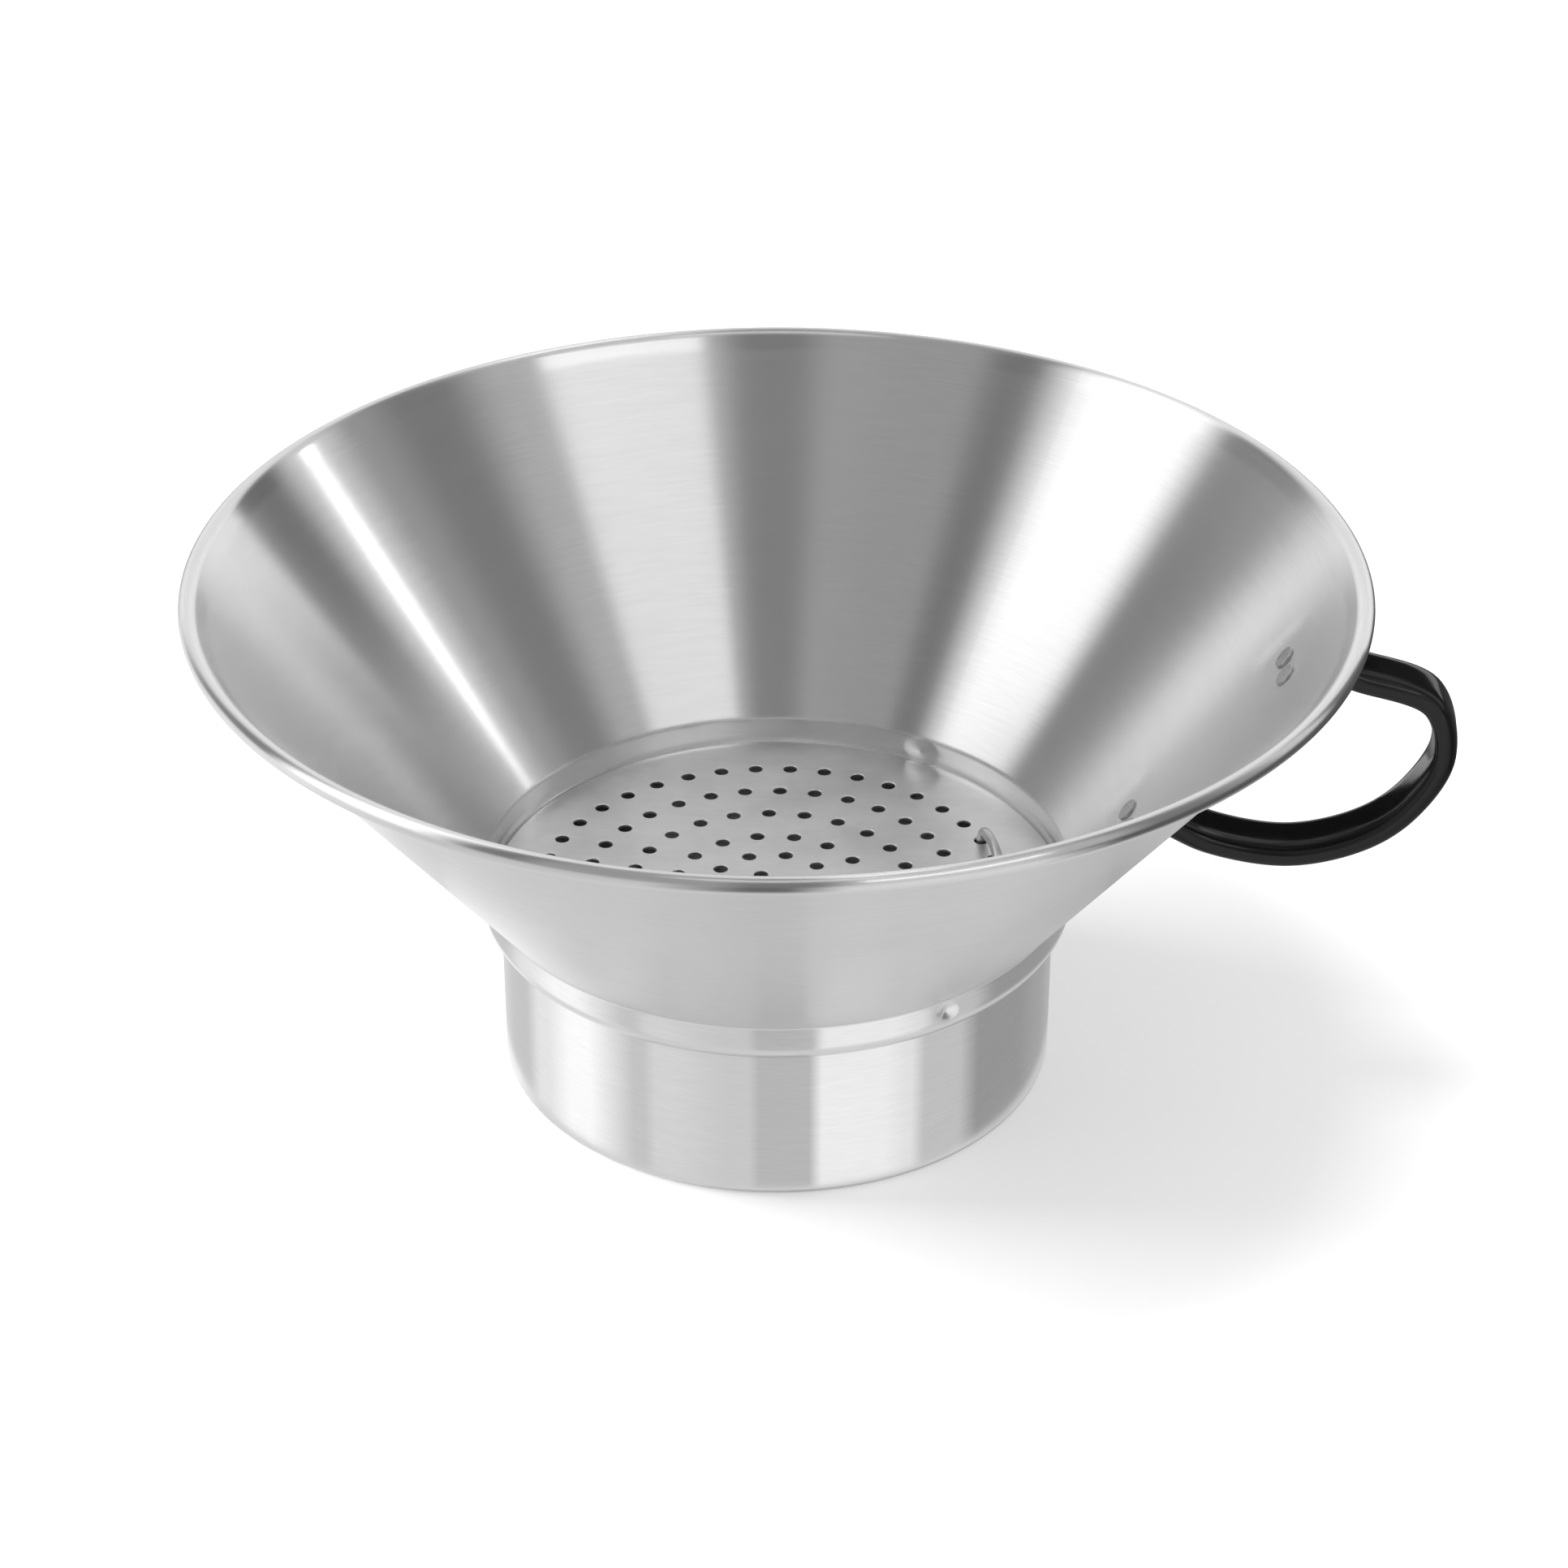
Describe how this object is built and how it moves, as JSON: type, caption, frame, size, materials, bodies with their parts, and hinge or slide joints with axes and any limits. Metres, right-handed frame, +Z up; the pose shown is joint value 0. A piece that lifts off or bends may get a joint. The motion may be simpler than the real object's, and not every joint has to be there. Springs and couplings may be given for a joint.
{
  "type": "colander",
  "caption": "Wide spun aluminium funnel bowl on a closed salt well, with a lift-out punched sieve plate in the neck, a rolled rim and a black looped side handle.",
  "frame": {"origin": "centre of the base's underside, where the colander stands", "axes": "+Z up along the spinning axis, +X towards the handle"},
  "size_m": [0.4099, 0.38, 0.1807],
  "materials": {
    "spun_aluminium": "spun, with fine brush lines round the axis",
    "plate_aluminium": "satin rolled sheet, lightly smudged",
    "rivet_aluminium": "satin",
    "steel": "drawn and polished",
    "black_plastic": "glossy"
  },
  "bodies": {
    "colander": {"body": "spun_aluminium", "handle_core": "steel", "handle_sleeve": "black_plastic", "rivet_upper_front": "rivet_aluminium", "rivet_upper_rear": "rivet_aluminium", "rivet_lower_front": "rivet_aluminium", "rivet_lower_rear": "rivet_aluminium"},
    "sieve": {"sieve_plate": "plate_aluminium", "lift_loop": "steel"}
  },
  "joints": [
    {"name": "sieve_lift", "type": "slide", "parent": "colander", "child": "sieve", "axis": [0, 0, 1], "range_m": [0, 0.14]}
  ]
}
